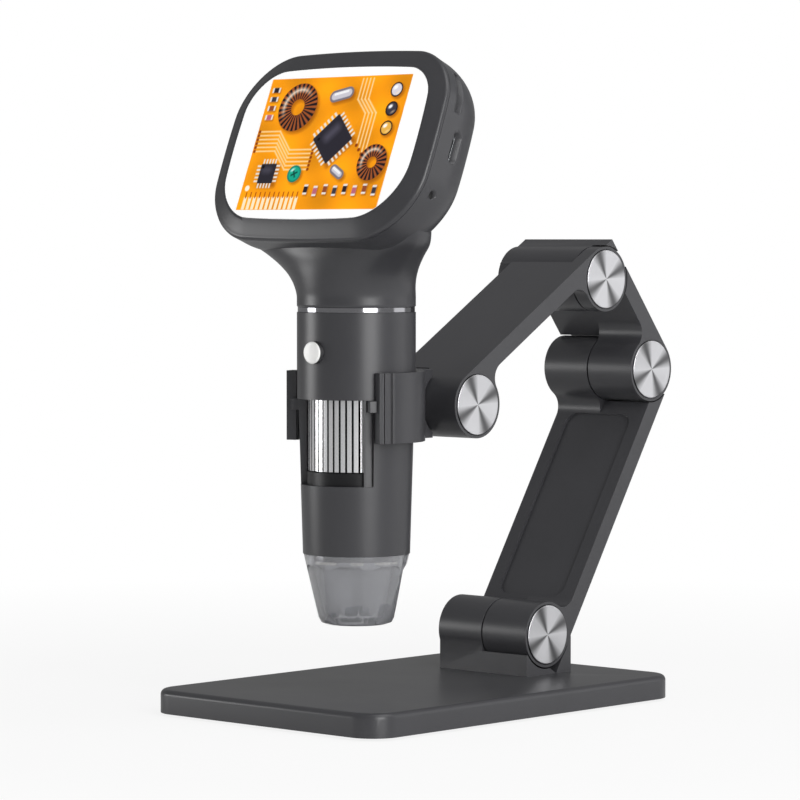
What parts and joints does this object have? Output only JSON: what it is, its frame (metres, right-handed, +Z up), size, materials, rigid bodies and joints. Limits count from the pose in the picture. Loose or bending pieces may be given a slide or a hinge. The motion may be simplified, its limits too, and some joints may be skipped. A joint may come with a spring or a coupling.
{
  "type": "lcd digital microscope",
  "caption": "Handheld digital microscope with a tilted screen, held in a spring clip on a folding stand of three friction-hinged arms over a weighted base.",
  "frame": {"origin": "middle of the base, on the surface that the stand rests on", "axes": "+Z up; the screen, the clip's mouth and the base's long side away from the arms face -Y; the spun hinge caps are on the +X side"},
  "size_m": [0.0918, 0.1664, 0.1949],
  "materials": {
    "housing_plastic": "satin moulded",
    "arm_plastic": "satin moulded",
    "spun_aluminium": "spun",
    "zinc_steel": "plated",
    "black_acetal": "moulded",
    "chrome": "polished",
    "white_plastic": "gloss",
    "screen": "gloss",
    "display": "lit panel",
    "circuit_board": "solder mask",
    "cell_wrap": "foil",
    "smoky_clear": "moulded clear",
    "lens_glass": "polished",
    "lamp_white": "diffuse",
    "rubber": "matt",
    "black_anodised": "matt"
  },
  "bodies": {
    "base": {"base_cover": "housing_plastic", "base_floor": "housing_plastic", "base_weight": "zinc_steel", "base_screws": "zinc_steel", "grip_pad": "rubber"},
    "lower_arm": {"lower_arm": "arm_plastic", "base_hinge_cap": "spun_aluminium", "base_hinge_bolt": "zinc_steel", "base_hinge_nut": "zinc_steel", "base_hinge_washer": "black_acetal"},
    "short_link": {"short_link": "arm_plastic", "elbow_hinge_cap": "spun_aluminium", "elbow_hinge_bolt": "zinc_steel", "elbow_hinge_nut": "zinc_steel", "elbow_hinge_washer": "black_acetal"},
    "upper_arm": {"upper_arm": "arm_plastic", "top_hinge_cap": "spun_aluminium", "top_hinge_bolt": "zinc_steel", "top_hinge_nut": "zinc_steel", "top_hinge_washer": "black_acetal", "clip_hinge_cap": "spun_aluminium", "clip_hinge_bolt": "zinc_steel", "clip_hinge_nut": "zinc_steel", "clip_hinge_washer": "black_acetal"},
    "clip": {"clip": "arm_plastic"},
    "microscope": {"screen_bezel": "housing_plastic", "screen_glass": "screen", "display_panel": "display", "main_board": "circuit_board", "battery": "cell_wrap", "rear_housing": "housing_plastic", "charging_port": "zinc_steel", "card_socket": "zinc_steel", "status_lamp": "lamp_white", "trim_ring": "chrome", "grip_sleeve": "housing_plastic", "barrel_shell": "housing_plastic", "guide_tube": "black_anodised", "sensor_board": "circuit_board", "image_sensor": "black_acetal", "button_switch": "black_acetal", "button_board": "circuit_board", "nose_cone": "smoky_clear", "lamp_board": "circuit_board", "lamps": "lamp_white"},
    "focus_ring": {"focus_ring": "chrome"},
    "lens_carriage": {"lens_carriage": "black_anodised", "focus_pin": "zinc_steel", "front_lens": "lens_glass", "rear_lens": "lens_glass"},
    "shutter_button": {"shutter_button": "white_plastic"}
  },
  "joints": [
    {"name": "base_hinge", "type": "hinge", "parent": "base", "child": "lower_arm", "pos_m": [0, 0.0391, 0.0199], "axis": [1, 0, 0], "range_deg": [0, 14]},
    {"name": "elbow_hinge", "type": "hinge", "parent": "lower_arm", "child": "short_link", "pos_m": [0, 0.08901, 0.09932], "axis": [-1, 0, 0], "range_deg": [-7, 60]},
    {"name": "top_hinge", "type": "hinge", "parent": "short_link", "child": "upper_arm", "pos_m": [0, 0.06669, 0.12769], "axis": [1, 0, 0], "range_deg": [-3, 9]},
    {"name": "clip_hinge", "type": "hinge", "parent": "upper_arm", "child": "clip", "pos_m": [0, 0.00713, 0.0909], "axis": [1, 0, 0], "range_deg": [-20, 25]},
    {"name": "clip_slide", "type": "slide", "parent": "clip", "child": "microscope", "axis": [0, 0, 1], "range_m": [0, 0.02]},
    {"name": "focus_turn", "type": "hinge", "parent": "microscope", "child": "focus_ring", "pos_m": [0, -0.02637, 0.0834], "axis": [0, 0, 1], "range_deg": [-150, 150]},
    {"name": "lens_slide", "type": "slide", "parent": "microscope", "child": "lens_carriage", "axis": [0, 0, 1], "range_m": [-0.005, 0.005]},
    {"name": "shutter_press", "type": "slide", "parent": "microscope", "child": "shutter_button", "axis": [0, 1, 0], "range_m": [0, 0.0008], "stiffness_N_per_m": 800, "springref_m": -0.0004}
  ],
  "couplings": [
    {"joint": "focus_turn", "follows": "lens_slide", "rad_per_m": 523.6}
  ]
}
